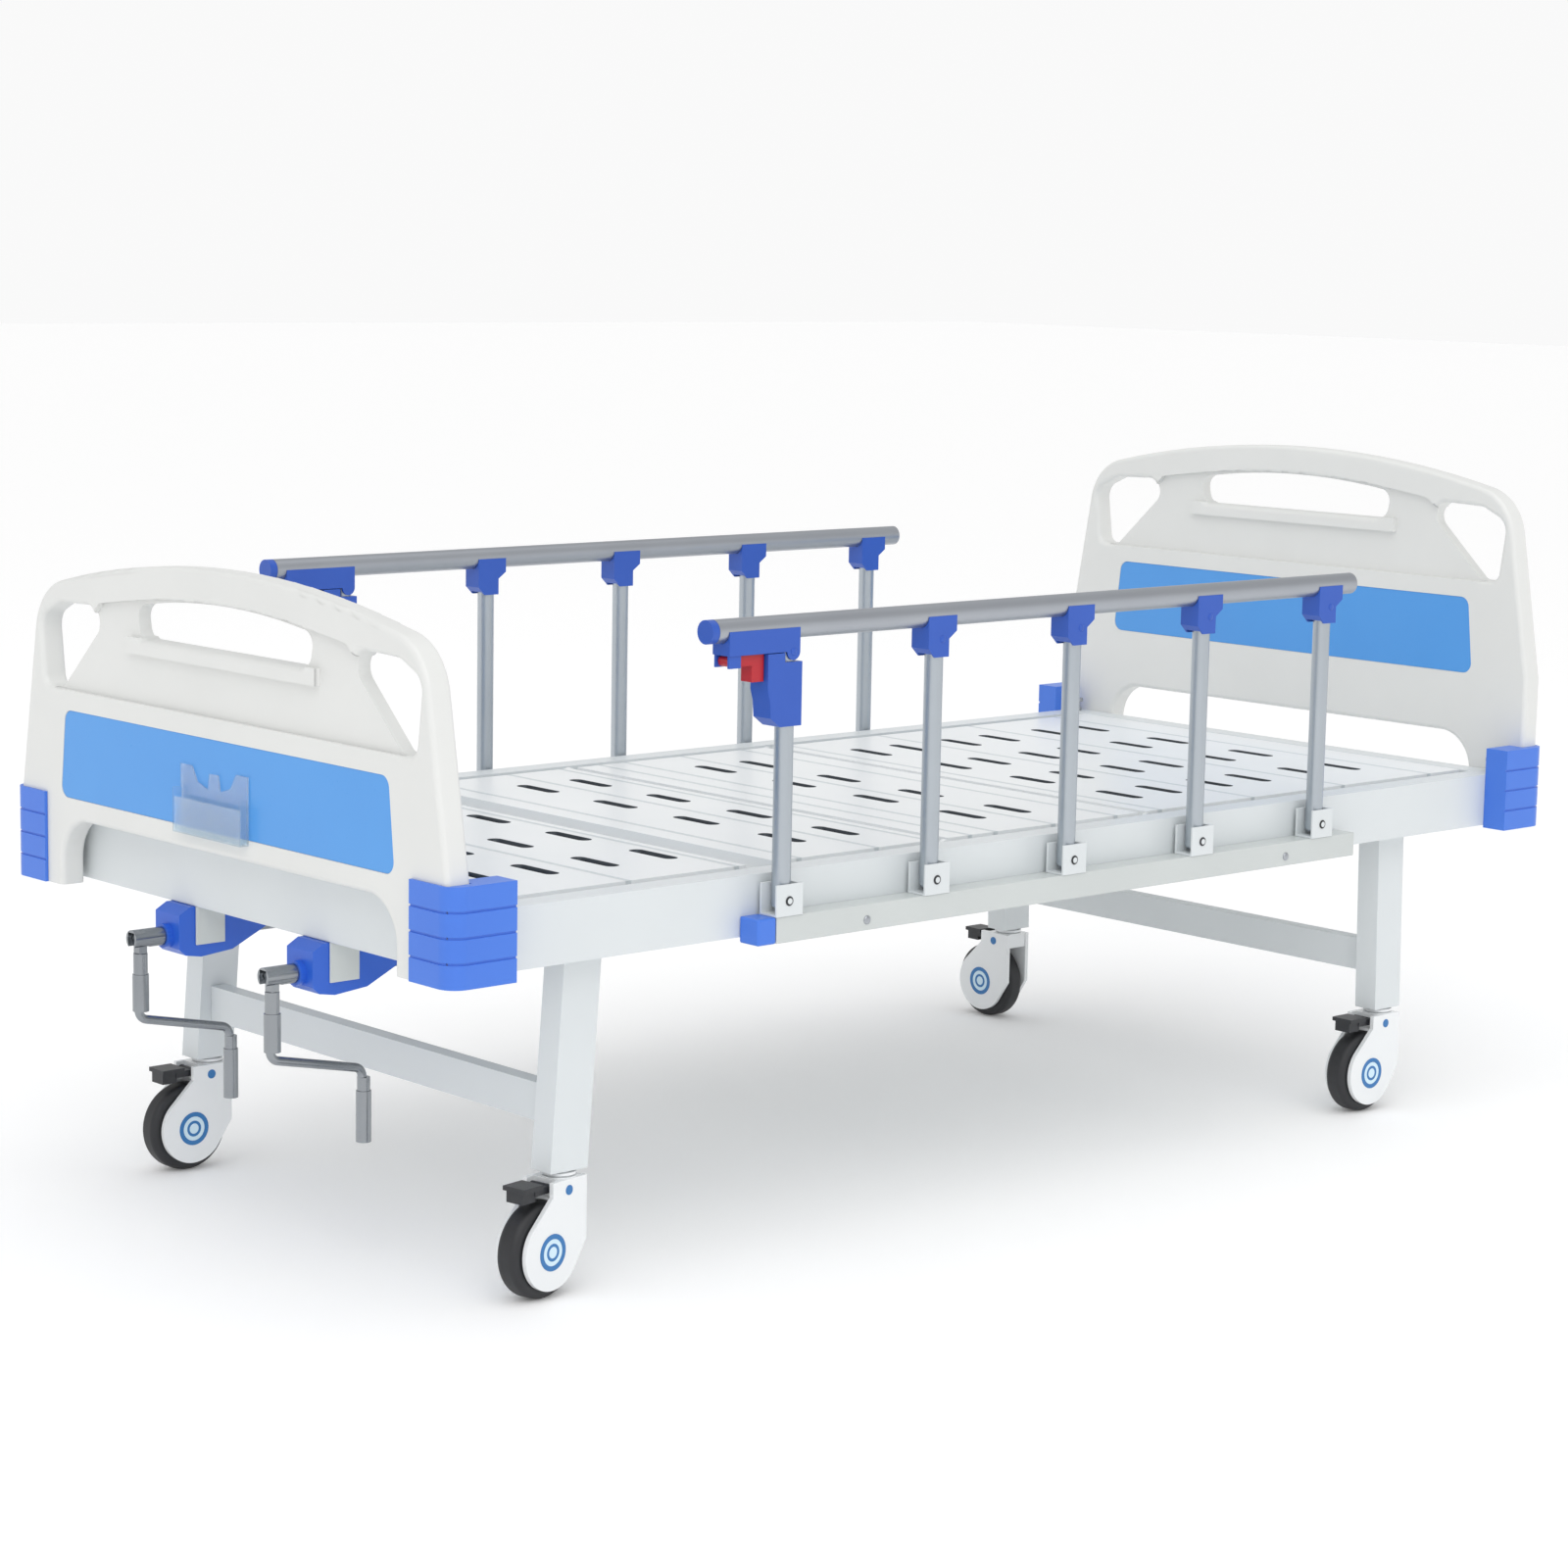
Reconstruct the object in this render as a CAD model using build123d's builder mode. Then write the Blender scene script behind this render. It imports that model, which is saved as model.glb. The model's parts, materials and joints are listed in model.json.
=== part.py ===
from build123d import *

import os
from math import cos, radians, sin, tan

os.makedirs("parts", exist_ok=True)

# Two-crank hospital bed.  Millimetres, +Z up, floor at Z = 0.
# X runs along the bed with the foot end at -X; Y runs across it.

GAP = 0.2                      # seam between pieces of one body

# Overall frame
BEAM_INNER, BEAM_OUTER = 428.0, 468.0
BEAM_BOTTOM, DECK_TOP = 440.0, 520.0
BEAM_START, BEAM_END = -1017.5, 1047.5
BEAM_WALL = 2.5
END_BEAM_DEPTH = 40.0
FOOT_END_BEAM_X = -1009.0
HEAD_END_BEAM_X = 1007.0

# Legs and cross braces
LEG_TOP, LEG_BOTTOM = BEAM_BOTTOM - GAP, 160.0
LEG_LENGTH_X, LEG_LENGTH_Y, LEG_WALL = 60.0, 40.0, 2.0
LEG_Y = 406.0
FOOT_LEG_TOP_X, FOOT_LEG_BOTTOM_X = -790.0, -810.0
HEAD_LEG_TOP_X, HEAD_LEG_BOTTOM_X = 816.0, 824.0
BRACE_BOTTOM, BRACE_TOP, BRACE_DEPTH = 215.0, 265.0, 25.0

# Deck trays
DECK_HALF_WIDTH = 408.0
TRAY_DEPTH, SHEET = 18.0, 2.0
TRAY_BOTTOM = DECK_TOP - TRAY_DEPTH
SEAT_SPAN = (-133.5, 253.5)
BACK_SPAN = (270.0, 1002.0)
THIGH_SPAN = (-452.0, -150.0)
CALF_SPAN = (-962.0, -504.0)
SLOT_LENGTH, SLOT_WIDTH = 90.0, 22.0
SLOT_ROWS = (-271.0, -90.0, 90.0, 271.0)
SEAT_SLOTS = (30.0, 122.0)
BACK_SLOTS = (360.0, 447.0, 562.0, 652.0, 777.0, 867.0)
THIGH_SLOTS = (-318.0, -218.0)
CALF_SLOTS = (-838.0, -748.0, -648.0, -548.0)

# Deck hinges and the frames under the trays
HINGE_Z = 511.0
BACK_HINGE_X, THIGH_HINGE_X = 265.0, -145.0
KNEE_X, KNEE_Z = -478.0, 500.0
RAIL_IN, RAIL_OUT = 392.0, 418.0
RAIL_BOTTOM, RAIL_TOP = 474.0, TRAY_BOTTOM - GAP
EAR_IN, EAR_OUT = 410.0, 418.0
STUD_R, STUD_BORE_R = 5.0, 5.05

# Lead screws, nuts and the slotted lugs they push
CRANK_Y, SCREW_Z = 155.0, 400.0
SCREW_R, SCREW_BORE_R = 10.0, 10.06
SCREW_START = -1034.0
BACK_SCREW_END, LEG_SCREW_END = 402.0, -48.0
LUG_REACH = HINGE_Z - SCREW_Z
LUG_FOOT = 6.0
BACK_LUG_ANGLE, LEG_LUG_ANGLE = -37.5, 20.0
NUT_PIN_R = 5.0

# Head and foot boards
BOARD_THICK = 37.0
FOOT_BOARD_X, HEAD_BOARD_X = -1055.0, 1048.0
FOOT_BOARD_TOP, HEAD_BOARD_TOP = 900.0, 1008.0
BOARD_BOTTOM = 436.0
BOARD_HALF_LOW, BOARD_HALF_HIGH = 495.0, 455.0
FOOT_ARCH_TOP, HEAD_ARCH_TOP = 530.0, 572.0
PANEL_DEPTH = 3.0
BOARD_ROUND = 8.0
FIELD_DEPTH = 9.0

# Corner bumpers
BUMPER_BOTTOM, BUMPER_TOP = 436.0, 562.0
BUMPER_SIDE, BUMPER_INNER = 509.0, 424.0
BUMPER_LENGTH, BUMPER_WRAP = 100.0, 5.0
GROOVE_DEPTH = 2.0

# Side rails
RAIL_Y = 491.0
POST_X = (-516.0, -250.0, 16.0, 282.0, 548.0)
POST_R = 12.5
POST_BOTTOM, POST_TOP = 476.0, 822.0
PIVOT_LOW_Z, PIVOT_HIGH_Z = 488.0, 812.0
PIVOT_R, PIVOT_BORE_R = 4.0, 4.06
TUBE_Z, TUBE_R, TUBE_WALL = 843.0, 15.5, 1.5
TUBE_START, TUBE_END = -640.0, 608.0
BAR_START, BAR_END = -567.0, 627.0
BAR_BOTTOM, BAR_TOP = 433.0, 468.0
BAR_OUTER = 505.0
CHEEK_IN, CHEEK_OUT = 13.4, 16.5

# Cranks
KNUCKLE_X = -1076.0
HUB_R, BOSS_START = 12.5, -1043.0
CRANK_ARM_R = 6.0

# Casters: distance from the swivel axis back to the wheel axle
CASTER_TRAIL = 40.0
WHEEL_R, WHEEL_HALF = 62.5, 17.0
AXLE_R, AXLE_BORE_R = 4.0, 4.06
COVER_IN, COVER_OUT = 19.0, 26.0
CASTERS = (
    ("foot_near", FOOT_LEG_BOTTOM_X, -LEG_Y, 10.0),
    ("foot_far", FOOT_LEG_BOTTOM_X, LEG_Y, 0.0),
    ("head_near", HEAD_LEG_BOTTOM_X, -LEG_Y, 0.0),
    ("head_far", HEAD_LEG_BOTTOM_X, LEG_Y, -90.0),
)


def save(builder, label):
    """Label one finished sub-part and write its STEP file."""
    builder.part.label = label
    export_step(builder.part, f"parts/{label}.step")


def block(x, y, z, mode=Mode.ADD):
    """Add a box given by its (low, high) span on each axis."""
    with Locations(((x[0] + x[1]) / 2, (y[0] + y[1]) / 2, (z[0] + z[1]) / 2)):
        Box(x[1] - x[0], y[1] - y[0], z[1] - z[0], mode=mode)


def sides(low, high):
    """The same Y span on the near side and on the far side of the bed."""
    return ((-high, -low), (low, high))


def rod(axis, centre, radius, low, high, mode=Mode.ADD):
    """Add a cylinder along X, Y or Z through the centre given on the other two axes."""
    middle = (low + high) / 2
    turn = {"X": (0, 90, 0), "Y": (90, 0, 0), "Z": (0, 0, 0)}[axis]
    place = {
        "X": (middle, centre[0], centre[1]),
        "Y": (centre[0], middle, centre[1]),
        "Z": (centre[0], centre[1], middle),
    }[axis]
    with Locations(Location(place, turn)):
        Cylinder(radius, high - low, mode=mode)


def box_tube_x(x, y, z, wall):
    """Add a rectangular tube along X, open at both ends."""
    block(x, y, z)
    block((x[0] - 1, x[1] + 1), (y[0] + wall, y[1] - wall), (z[0] + wall, z[1] - wall), Mode.SUBTRACT)


def box_tube_y(x, y, z, wall):
    """Add a rectangular tube along Y, open at both ends."""
    block(x, y, z)
    block((x[0] + wall, x[1] - wall), (y[0] - 1, y[1] + 1), (z[0] + wall, z[1] - wall), Mode.SUBTRACT)


# ---------------------------------------------------------------- base frame

with BuildPart() as side_beams:
    for span in sides(BEAM_INNER, BEAM_OUTER):
        box_tube_x((BEAM_START, BEAM_END), span, (BEAM_BOTTOM, DECK_TOP), BEAM_WALL)
    # hinge studs that carry the back and thigh sections
    for hinge_x in (BACK_HINGE_X, THIGH_HINGE_X):
        for side in (-1, 1):
            ends = sorted((side * (EAR_IN - 0.5), side * (BEAM_INNER + 1)))
            rod("Y", (hinge_x, HINGE_Z), STUD_R, ends[0], ends[1])
save(side_beams, "side_beams")

with BuildPart() as end_beams:
    inner = BEAM_INNER - GAP
    for start in (FOOT_END_BEAM_X, HEAD_END_BEAM_X):
        box_tube_y((start, start + END_BEAM_DEPTH), (-inner, inner), (BEAM_BOTTOM, DECK_TOP), BEAM_WALL)
save(end_beams, "end_beams")

with BuildPart() as cross_tubes:
    for start in (-80.0, 120.0):
        box_tube_y((start, start + 40), (-inner, inner), (472.0, TRAY_BOTTOM - GAP), 2.0)
    # low tubes: screw support under the back section, and rests under the thigh and calf
    for start in (375.0, -640.0):
        box_tube_y((start, start + 30), (-inner, inner), (441.0, 468.0), 2.0)
save(cross_tubes, "cross_tubes")


def leaning_tube(top_x, bottom_x, y, grow, mode):
    """Add one leg as a loft between its top and bottom outlines."""
    with BuildSketch(Plane.XY.offset(LEG_BOTTOM)) as bottom:
        with Locations((bottom_x, y)):
            Rectangle(LEG_LENGTH_X + grow, LEG_LENGTH_Y + grow)
    with BuildSketch(Plane.XY.offset(LEG_TOP)) as top:
        with Locations((top_x, y)):
            Rectangle(LEG_LENGTH_X + grow, LEG_LENGTH_Y + grow)
    loft([bottom.sketch, top.sketch], mode=mode)


with BuildPart() as leg_frames:
    for top_x, bottom_x in ((FOOT_LEG_TOP_X, FOOT_LEG_BOTTOM_X), (HEAD_LEG_TOP_X, HEAD_LEG_BOTTOM_X)):
        for leg_y in (-LEG_Y, LEG_Y):
            leaning_tube(top_x, bottom_x, leg_y, 0.0, Mode.ADD)
            leaning_tube(top_x, bottom_x, leg_y, -2 * LEG_WALL, Mode.SUBTRACT)
            # closing plate that the caster stem is fixed to
            block((bottom_x - 28.5, bottom_x + 28.5), (leg_y - 18.5, leg_y + 18.5),
                  (LEG_BOTTOM, LEG_BOTTOM + 4))
        brace_x = bottom_x + (top_x - bottom_x) * 0.29
        brace_end = LEG_Y - LEG_LENGTH_Y / 2 - GAP
        box_tube_y((brace_x - BRACE_DEPTH / 2, brace_x + BRACE_DEPTH / 2), (-brace_end, brace_end),
                   (BRACE_BOTTOM, BRACE_TOP), 2.0)
save(leg_frames, "leg_frames")

# --------------------------------------------------------------------- decks


def tray(span, slots):
    """Add one pressed deck tray: a flanged sheet with rows of long vent slots."""
    width = (-DECK_HALF_WIDTH, DECK_HALF_WIDTH)
    block(span, width, (TRAY_BOTTOM, DECK_TOP))
    block((span[0] + SHEET, span[1] - SHEET), (width[0] + SHEET, width[1] - SHEET),
          (TRAY_BOTTOM - 1, DECK_TOP - SHEET), Mode.SUBTRACT)
    with BuildSketch(Plane.XY.offset(DECK_TOP - SHEET - 1)) as vents:
        with Locations([(x, y) for x in slots for y in SLOT_ROWS]):
            SlotOverall(SLOT_LENGTH, SLOT_WIDTH, rotation=90)
    extrude(vents.sketch, amount=SHEET + 2, mode=Mode.SUBTRACT)


def ear(hinge_x, hinge_z, y, radius=9.0, foot_z=RAIL_TOP - 4):
    """Add a round-topped hinge ear standing on a deck rail, and bore it."""
    rod("Y", (hinge_x, hinge_z), radius, y[0], y[1])
    block((hinge_x - radius, hinge_x + radius), y, (foot_z, hinge_z))
    rod("Y", (hinge_x, hinge_z), STUD_BORE_R, y[0] - 1, y[1] + 1, Mode.SUBTRACT)


def lug(hinge_x, angle, slot_width, slot_near, slot_far, foot_x, y):
    """Add a slotted lug plate under a cross tube; the nut's cross pin runs in its slot."""
    def along(reach):
        return (hinge_x + reach * sin(radians(angle)), HINGE_Z - reach * cos(radians(angle)))
    near, far = along(slot_near), along(slot_far)
    margin = slot_width / 2 + 8
    with BuildSketch(Plane.XZ.offset(-y[1])) as plate:
        with Locations(near, far):
            Circle(margin)
        with Locations((foot_x, RAIL_BOTTOM - GAP - LUG_FOOT / 2)):
            Rectangle(24, LUG_FOOT)
        make_hull()
    extrude(plate.sketch, amount=y[1] - y[0])
    with BuildSketch(Plane.XZ.offset(-y[1] - 1)) as slot:
        with Locations(near, far):
            Circle(slot_width / 2)
        make_hull()
    extrude(slot.sketch, amount=y[1] - y[0] + 2, mode=Mode.SUBTRACT)


with BuildPart() as seat_deck:
    tray(SEAT_SPAN, SEAT_SLOTS)
save(seat_deck, "seat_deck")

with BuildPart() as back_deck:
    tray(BACK_SPAN, BACK_SLOTS)
save(back_deck, "back_deck")

with BuildPart() as back_frame:
    for span in sides(RAIL_IN, RAIL_OUT):
        box_tube_x((BACK_HINGE_X - 12, 985), span, (RAIL_BOTTOM, RAIL_TOP), 2.0)
    for start in (290.0, 500.0, 715.0, 930.0):
        box_tube_y((start, start + 25), (-RAIL_IN + GAP, RAIL_IN - GAP), (RAIL_BOTTOM, RAIL_TOP), 2.0)
    for span in sides(EAR_IN, EAR_OUT):
        ear(BACK_HINGE_X, HINGE_Z, span)
    for offset in (-23.0, 17.0):
        lug(BACK_HINGE_X, BACK_LUG_ANGLE, 22.0, 108.0, 143.0, 302.5,
            (-CRANK_Y + offset, -CRANK_Y + offset + 6))
save(back_frame, "back_frame")

with BuildPart() as thigh_section:
    tray(THIGH_SPAN, THIGH_SLOTS)
    for span in sides(RAIL_IN, RAIL_OUT):
        box_tube_x((THIGH_SPAN[0], THIGH_HINGE_X + 12), span, (RAIL_BOTTOM, RAIL_TOP), 2.0)
    for start in (-200.0, -440.0):
        box_tube_y((start, start + 25), (-RAIL_IN + GAP, RAIL_IN - GAP), (RAIL_BOTTOM, RAIL_TOP), 2.0)
    for span in sides(EAR_IN, EAR_OUT):
        ear(THIGH_HINGE_X, HINGE_Z, span)
    for offset in (-23.0, 17.0):
        lug(THIGH_HINGE_X, LEG_LUG_ANGLE, 12.5, 107.0, 122.0, -187.5,
            (CRANK_Y + offset, CRANK_Y + offset + 6))
    # knee plates, each with the stud the calf section turns on
    for side in (-1, 1):
        plate = sorted((side * RAIL_IN, side * (RAIL_IN + 8)))
        block((KNEE_X, THIGH_SPAN[0] + 1), plate, (KNEE_Z - 12, KNEE_Z + 1.5))
        rod("Y", (KNEE_X, KNEE_Z), 12.0, plate[0], plate[1])
        stud = sorted((side * (RAIL_IN + 7), side * RAIL_OUT))
        rod("Y", (KNEE_X, KNEE_Z), STUD_R, stud[0], stud[1])
save(thigh_section, "thigh_section")

with BuildPart() as calf_section:
    tray(CALF_SPAN, CALF_SLOTS)
    for span in sides(RAIL_IN, RAIL_OUT):
        box_tube_x((CALF_SPAN[0] + 12, CALF_SPAN[1]), span, (RAIL_BOTTOM, RAIL_TOP), 2.0)
    for start in (-545.0, -745.0, -945.0):
        box_tube_y((start, start + 25), (-RAIL_IN + GAP, RAIL_IN - GAP), (RAIL_BOTTOM, RAIL_TOP), 2.0)
    for side in (-1, 1):
        plate = sorted((side * (RAIL_IN + 12), side * (RAIL_IN + 20)))
        block((CALF_SPAN[1] - 1, KNEE_X), plate, (KNEE_Z - 12, KNEE_Z + 1.5))
        rod("Y", (KNEE_X, KNEE_Z), 12.0, plate[0], plate[1])
        rod("Y", (KNEE_X, KNEE_Z), STUD_BORE_R, plate[0] - 1, plate[1] + 1, Mode.SUBTRACT)
save(calf_section, "calf_section")

# -------------------------------------------------------------------- boards


def outline(top):
    """Draw the board's outer outline: straight legs, tapering sides, arched top."""
    shoulder, corner = top - 340, top - 57
    corner_y = BOARD_HALF_HIGH - (corner - top + 110) * (BOARD_HALF_LOW - BOARD_HALF_HIGH) / 230
    with BuildLine() as edge:
        ThreePointArc((corner_y, corner), (0, top), (-corner_y, corner))
        Polyline((-corner_y, corner), (-BOARD_HALF_LOW, shoulder), (-BOARD_HALF_LOW, BOARD_BOTTOM),
                 (BOARD_HALF_LOW, BOARD_BOTTOM), (BOARD_HALF_LOW, shoulder), (corner_y, corner))
    make_face(edge.edges())


def side_window(top, side):
    """Draw the leaf-shaped hand opening near one end of the board."""
    points = [(262, -70), (392, -74), (440, -96), (428, -190), (392, -190)]
    with BuildLine() as opening:
        Polyline(*[(side * y, top + z) for y, z in points], close=True)
    make_face(opening.edges())


def middle_window(top):
    """Draw the long grip opening, its top edge following the arch of the board."""
    with BuildLine() as opening:
        ThreePointArc((205, top - 62), (0, top - 46), (-205, top - 62))
        Polyline((-205, top - 62), (-196, top - 106), (196, top - 106), (205, top - 62))
    make_face(opening.edges())


def board(x, top, arch_top):
    """Add one moulded board with its hand openings, bottom arch and panel recesses."""
    with BuildSketch(Plane.YZ.offset(x)) as whole:
        outline(top)
        fillet([v for v in whole.vertices() if v.Y > top - 60], 84)
        for side in (-1, 1):
            add(leaf_face(top, side), mode=Mode.SUBTRACT)
        add(grip_face(top), mode=Mode.SUBTRACT)
        add(arch_face(arch_top), mode=Mode.SUBTRACT)
    extrude(whole.sketch, amount=BOARD_THICK)
    middle = x + BOARD_THICK / 2
    rounded = [
        e for e in edges()
        if abs(e.center().X - middle) > 1 and e.center().Z > BOARD_BOTTOM + 1
    ]
    fillet(rounded, BOARD_ROUND)
    for face_x in (x, x + BOARD_THICK - PANEL_DEPTH):
        with BuildSketch(Plane.YZ.offset(face_x)) as recess:
            panel_shape(top, 0.0)
            fillet(recess.vertices(), 16)
        extrude(recess.sketch, amount=PANEL_DEPTH, mode=Mode.SUBTRACT)
    for face_x in (x - 1, x + BOARD_THICK - FIELD_DEPTH):
        with BuildSketch(Plane.YZ.offset(face_x)) as field:
            field_shape(top)
        extrude(field.sketch, amount=FIELD_DEPTH + 1, mode=Mode.SUBTRACT)


def field_shape(top):
    """Draw the sunken field between the hand openings, with a raised lip under the middle one."""
    with BuildLine() as rim:
        ThreePointArc((285, top - 66), (0, top - 44), (-285, top - 66))
        Polyline((-285, top - 66), (-405, top - 170), (-405, top - 192), (405, top - 192), (405, top - 170),
                 (285, top - 66))
    make_face(rim.edges())
    with Locations((0, top - 115)):
        Rectangle(436, 22, mode=Mode.SUBTRACT)


def leaf_face(top, side):
    """The side hand opening with its corners rounded."""
    with BuildSketch() as leaf:
        side_window(top, side)
        fillet(leaf.vertices().group_by(Axis.Y)[0], 16)
        low = [v for v in leaf.vertices() if v.Y > top - 100 and abs(v.X) < 300]
        fillet(low, 22)
        outer = [v for v in leaf.vertices() if v.Y > top - 100 and abs(v.X) > 385]
        fillet(outer, 26)
    return leaf.sketch


def grip_face(top):
    """The middle hand opening with its corners rounded."""
    with BuildSketch() as grip:
        middle_window(top)
        fillet(grip.vertices(), 19)
    return grip.sketch


def arch_face(arch_top):
    """The wide opening under the board, with large rounded shoulders."""
    with BuildSketch() as arch:
        with Locations((0, (BOARD_BOTTOM - 10 + arch_top) / 2)):
            Rectangle(2 * 388, arch_top - BOARD_BOTTOM + 10)
        fillet(arch.vertices().group_by(Axis.Y)[-1], 60)
    return arch.sketch


def panel_shape(top, inset):
    """Draw the coloured insert panel: nearly rectangular, slightly wider at the bottom."""
    low, high = top - 340 + inset, top - 219 - inset
    with BuildLine() as rim:
        Polyline((-388 + inset, low), (388 - inset, low), (375 - inset, high), (-375 + inset, high),
                 close=True)
    make_face(rim.edges())


def panels(x, top):
    """Add the insert panel on both faces of a board."""
    for face_x in (x + 0.6, x + BOARD_THICK - PANEL_DEPTH + GAP):
        with BuildSketch(Plane.YZ.offset(face_x)) as face:
            panel_shape(top, GAP)
            fillet(face.vertices(), 16)
        extrude(face.sketch, amount=PANEL_DEPTH - 0.6 - GAP)


with BuildPart() as footboard:
    board(FOOT_BOARD_X, FOOT_BOARD_TOP, FOOT_ARCH_TOP)
save(footboard, "footboard")

with BuildPart() as headboard:
    board(HEAD_BOARD_X, HEAD_BOARD_TOP, HEAD_ARCH_TOP)
save(headboard, "headboard")

with BuildPart() as footboard_panels:
    panels(FOOT_BOARD_X, FOOT_BOARD_TOP)
save(footboard_panels, "footboard_panels")

with BuildPart() as headboard_panels:
    panels(HEAD_BOARD_X, HEAD_BOARD_TOP)
save(headboard_panels, "headboard_panels")

# clear card pocket: a back plate with three prongs, side walls and a low front lip
with BuildPart() as card_holder:
    with BuildSketch(Plane.YZ.offset(FOOT_BOARD_X - 2 - GAP)):
        with BuildLine():
            Polyline((85, 553), (-72, 553), (-72, 642), (-45, 642), (-32, 622), (-8, 615), (-4, 636),
                     (17, 636), (21, 615), (45, 622), (58, 642), (85, 642), close=True)
        make_face()
    extrude(amount=2)
    front = FOOT_BOARD_X - 14 - GAP
    block((front, FOOT_BOARD_X - 2 - GAP), (-72, 85), (553, 555))
    block((front, FOOT_BOARD_X - 2 - GAP), (-72, -70), (553, 612))
    block((front, FOOT_BOARD_X - 2 - GAP), (83, 85), (553, 612))
    block((front, front + 2), (-72, 85), (553, 600))
save(card_holder, "card_holder")


def bumper(end_x, outward, side):
    """Add one corner bumper: a banded plastic shoe around a board leg and a beam end."""
    low, high = sorted((end_x, end_x - outward * BUMPER_LENGTH))
    y_low, y_high = sorted((side * BUMPER_INNER, side * BUMPER_SIDE))
    with BuildSketch(Plane.XY.offset(BUMPER_BOTTOM)) as plan:
        with Locations(((low + high) / 2, (y_low + y_high) / 2)):
            Rectangle(high - low, y_high - y_low)
        corner = plan.vertices().sort_by_distance((end_x, side * BUMPER_SIDE, 0))[0]
        fillet(corner, 26)
    extrude(plan.sketch, amount=BUMPER_TOP - BUMPER_BOTTOM)
    board_edge = side * (BOARD_HALF_LOW + GAP)
    board_face = end_x - outward * (BUMPER_WRAP - GAP)
    inner_face = end_x - outward * (BUMPER_WRAP + BOARD_THICK + GAP)
    beyond = end_x - outward * (BUMPER_LENGTH + 1)
    board_slot_y = sorted((side * (BUMPER_INNER - 1), board_edge))
    beam_slot_y = sorted((side * (BUMPER_INNER - 1), side * (BEAM_OUTER + GAP)))
    tall = (BUMPER_BOTTOM - 1, BUMPER_TOP + 1)
    block(sorted((board_face, inner_face)), board_slot_y, tall, Mode.SUBTRACT)
    block(sorted((board_face, beyond)), beam_slot_y, tall, Mode.SUBTRACT)
    # three grooves around the corner part it into four bands
    for band in (1, 2, 3):
        z = BUMPER_BOTTOM + band * (BUMPER_TOP - BUMPER_BOTTOM) / 4
        with BuildSketch(Plane.XY.offset(z - 1.5)) as ring:
            with Locations(((low + high) / 2, (y_low + y_high) / 2)):
                Rectangle(high - low + 4, y_high - y_low + 4)
            with Locations(((low + high) / 2 - outward * 10, (y_low + y_high) / 2 - side * 10)):
                Rectangle(high - low + 20 - 2 * GROOVE_DEPTH, y_high - y_low + 20 - 2 * GROOVE_DEPTH,
                          mode=Mode.SUBTRACT)
            corner = (end_x - outward * GROOVE_DEPTH, side * (BUMPER_SIDE - 2), z)
            kept = ring.vertices().sort_by_distance(corner)[0]
            fillet(kept, 24)
        extrude(ring.sketch, amount=3, mode=Mode.SUBTRACT)


with BuildPart() as corner_bumpers:
    for end_x, outward in ((-1060.0, -1), (1090.0, 1)):
        for side in (-1, 1):
            bumper(end_x, outward, side)
save(corner_bumpers, "corner_bumpers")

# board lock pins standing on the beam ends
with BuildPart() as board_lock_pins:
    for x in (-1000.0, 1028.0):
        for y in (-450.0, 450.0):
            rod("Z", (x, y), 7.0, DECK_TOP + GAP, DECK_TOP + 6)
            rod("Z", (x, y), 4.0, DECK_TOP + GAP, DECK_TOP + 18)
            rod("Z", (x, y), 9.0, DECK_TOP + 16, DECK_TOP + 22)
save(board_lock_pins, "board_lock_pins")

# -------------------------------------------------------------- crank drives

with BuildPart() as crank_cowls:
    for y in (-CRANK_Y, CRANK_Y):
        with BuildSketch(Plane.XZ.offset(-y - 29)):
            with BuildLine():
                Polyline((-1034, 384), (-1034, 430), (-1017, BEAM_BOTTOM - GAP), (-848, BEAM_BOTTOM - GAP),
                         (-848, 426), (-900, 400), (-950, 376), (-1000, 371), (-1024, 375), close=True)
            make_face()
        extrude(amount=58)
        rod("X", (y, SCREW_Z), 16.0, BOSS_START, SCREW_START + 1)
        rod("X", (y, SCREW_Z), SCREW_BORE_R, BOSS_START - 1, -840, Mode.SUBTRACT)
save(crank_cowls, "crank_cowls")

with BuildPart() as crank_hangers:
    for y in (-CRANK_Y, CRANK_Y):
        for side in (-1, 1):
            strap = sorted((y + side * 29.2, y + side * 32.2))
            block((-1009, -964), strap, (388, BEAM_BOTTOM - GAP))
    # plain bearings at the far ends of the two screws
    for y, x, top in ((-CRANK_Y, 390.0, 441.0), (CRANK_Y, -60.0, 472.0)):
        block((x - 10, x + 10), (y - 16, y + 16), (SCREW_Z - 16, top - GAP))
        rod("X", (y, SCREW_Z), SCREW_BORE_R, x - 12, x + 12, Mode.SUBTRACT)
save(crank_hangers, "crank_hangers")

for label, y, end in (("back_screw", -CRANK_Y, BACK_SCREW_END), ("leg_screw", CRANK_Y, LEG_SCREW_END)):
    with BuildPart() as screw:
        rod("X", (y, SCREW_Z), SCREW_R, SCREW_START, end)
        rod("X", (y, SCREW_Z), 6.0, SCREW_START - 1, end + 1, Mode.SUBTRACT)
    save(screw, label)

for label, y, x in (
    ("back_nut", -CRANK_Y, BACK_HINGE_X + LUG_REACH * tan(radians(BACK_LUG_ANGLE))),
    ("leg_nut", CRANK_Y, THIGH_HINGE_X + LUG_REACH * tan(radians(LEG_LUG_ANGLE))),
):
    with BuildPart() as nut:
        block((x - 15, x + 15), (y - 15.5, y + 15.5), (SCREW_Z - 16, SCREW_Z + 16))
        rod("Y", (x, SCREW_Z), NUT_PIN_R, y - 27, y + 27)
        rod("X", (y, SCREW_Z), SCREW_BORE_R, x - 30, x + 30, Mode.SUBTRACT)
    save(nut, label)


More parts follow.
